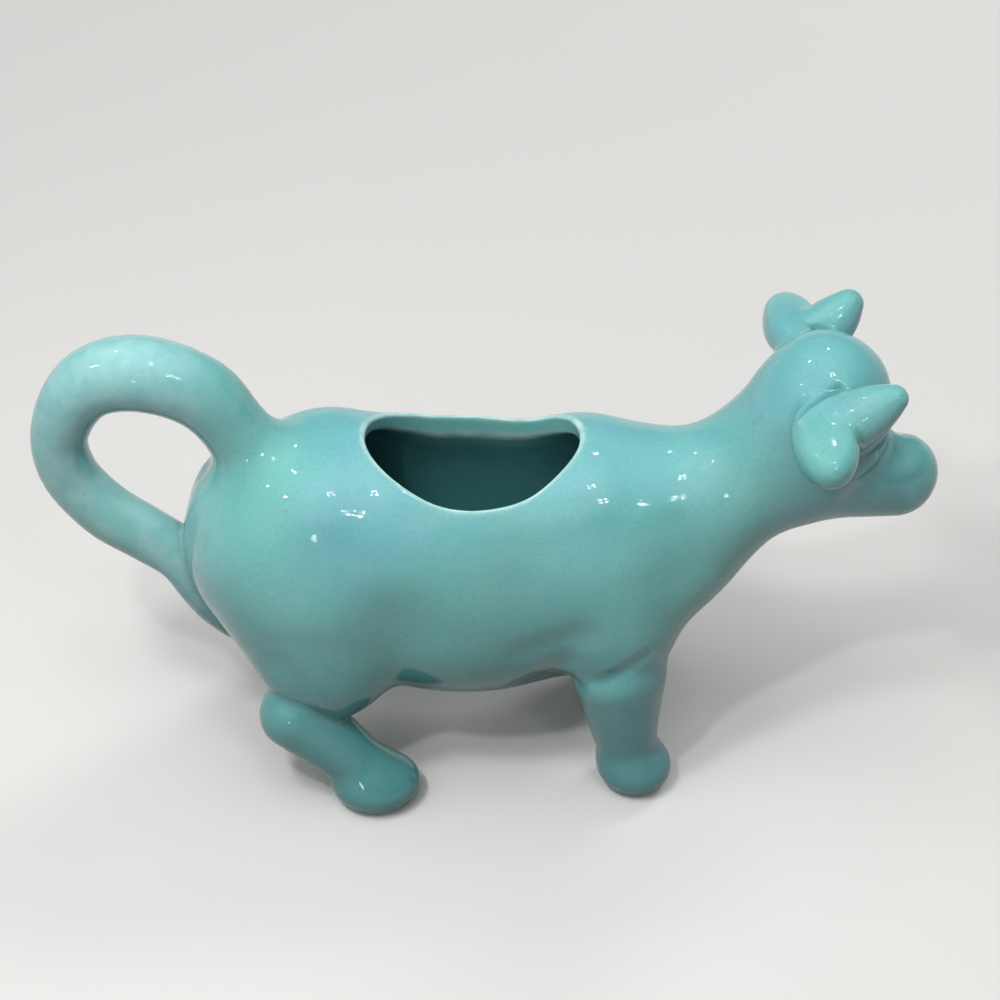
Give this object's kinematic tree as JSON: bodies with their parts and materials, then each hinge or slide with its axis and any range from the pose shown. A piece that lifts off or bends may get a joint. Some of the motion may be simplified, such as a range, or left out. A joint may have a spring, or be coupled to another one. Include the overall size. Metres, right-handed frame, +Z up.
{
  "type": "cow creamer",
  "caption": "Cow-shaped ceramic creamer: a hollow body filled through an oval opening in the back, pouring through the mouth, with a looped tail as the handle.",
  "frame": {"origin": "on the table under the middle of the overall box", "axes": "+X from tail to head along the body, +Y to the cow's left, +Z up from the soles"},
  "size_m": [0.1898, 0.0646, 0.1069],
  "materials": {
    "glaze": "glossy turquoise glaze over pale clay"
  },
  "bodies": {
    "root": {"body": "glaze", "head": "glaze", "tail_handle": "glaze", "ear_left": "glaze", "ear_right": "glaze", "horn_left": "glaze", "horn_right": "glaze", "foreleg_left": "glaze", "foreleg_right": "glaze", "hindleg_left": "glaze", "hindleg_right": "glaze"}
  },
  "joints": []
}
